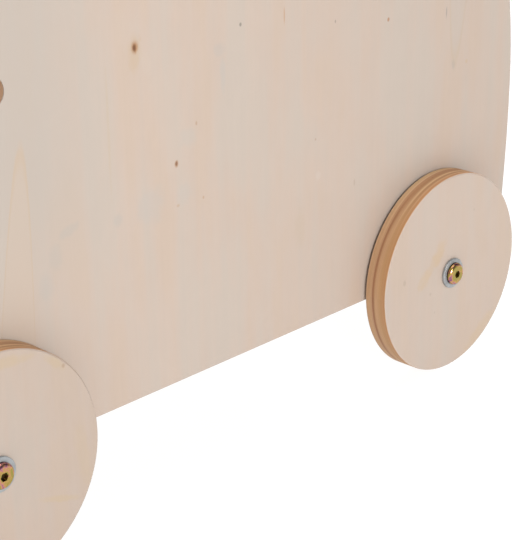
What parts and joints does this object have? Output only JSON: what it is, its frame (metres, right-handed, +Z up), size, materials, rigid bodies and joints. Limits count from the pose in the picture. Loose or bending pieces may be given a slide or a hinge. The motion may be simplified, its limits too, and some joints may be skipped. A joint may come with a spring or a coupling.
{
  "type": "baby push walker",
  "caption": "Plywood push-along walker: a toy box between two shaped side panels, a round push bar across the tall rear and free-turning wooden disc wheels.",
  "frame": {"origin": "on the floor, under the middle of the walker", "axes": "+X forward, +Y to the walker's left, +Z up"},
  "size_m": [0.4806, 0.3426, 0.468],
  "materials": {
    "panel_plywood": "sanded birch plywood, clear matt oil",
    "board_plywood": "sanded birch plywood, clear matt oil",
    "wheel_plywood": "sanded birch plywood disc, bare edge plies",
    "hardwood": "planed beech, clear oil",
    "dowel_wood": "fluted beech pin",
    "zinc_steel": "zinc plated, satin",
    "yellow_zinc_steel": "yellow passivated zinc, slightly iridescent",
    "brass": "turned",
    "nylon": "natural nylon"
  },
  "bodies": {
    "frame": {"right_side_panel": "panel_plywood", "left_side_panel": "panel_plywood", "floor_board": "board_plywood", "front_board": "board_plywood", "rear_board": "board_plywood", "front_axle_rail": "hardwood", "front_rail_dowels": "dowel_wood", "front_board_dowels": "dowel_wood", "rear_axle_rail": "hardwood", "rear_rail_dowels": "dowel_wood", "rear_board_dowels": "dowel_wood", "floor_dowels": "dowel_wood", "handle_bar": "hardwood", "inner_washers": "zinc_steel", "outer_washers": "zinc_steel", "handle_washers": "zinc_steel", "wheel_sleeves": "zinc_steel", "floor_screws": "zinc_steel", "wheel_bolts": "yellow_zinc_steel", "handle_bolts": "yellow_zinc_steel", "rail_inserts": "brass", "handle_inserts": "brass"},
    "front_right_wheel": {"front_right_wheel": "wheel_plywood", "front_right_bush": "nylon"},
    "front_left_wheel": {"front_left_wheel": "wheel_plywood", "front_left_bush": "nylon"},
    "rear_right_wheel": {"rear_right_wheel": "wheel_plywood", "rear_right_bush": "nylon"},
    "rear_left_wheel": {"rear_left_wheel": "wheel_plywood", "rear_left_bush": "nylon"}
  },
  "joints": [
    {"name": "front_right_spin", "type": "hinge", "parent": "frame", "child": "front_right_wheel", "pos_m": [0.1665, -0.1592, 0.06], "axis": [0, 1, 0], "continuous": true},
    {"name": "front_left_spin", "type": "hinge", "parent": "frame", "child": "front_left_wheel", "pos_m": [0.1665, 0.1592, 0.06], "axis": [0, 1, 0], "continuous": true},
    {"name": "rear_right_spin", "type": "hinge", "parent": "frame", "child": "rear_right_wheel", "pos_m": [-0.1665, -0.1592, 0.06], "axis": [0, 1, 0], "continuous": true},
    {"name": "rear_left_spin", "type": "hinge", "parent": "frame", "child": "rear_left_wheel", "pos_m": [-0.1665, 0.1592, 0.06], "axis": [0, 1, 0], "continuous": true}
  ]
}
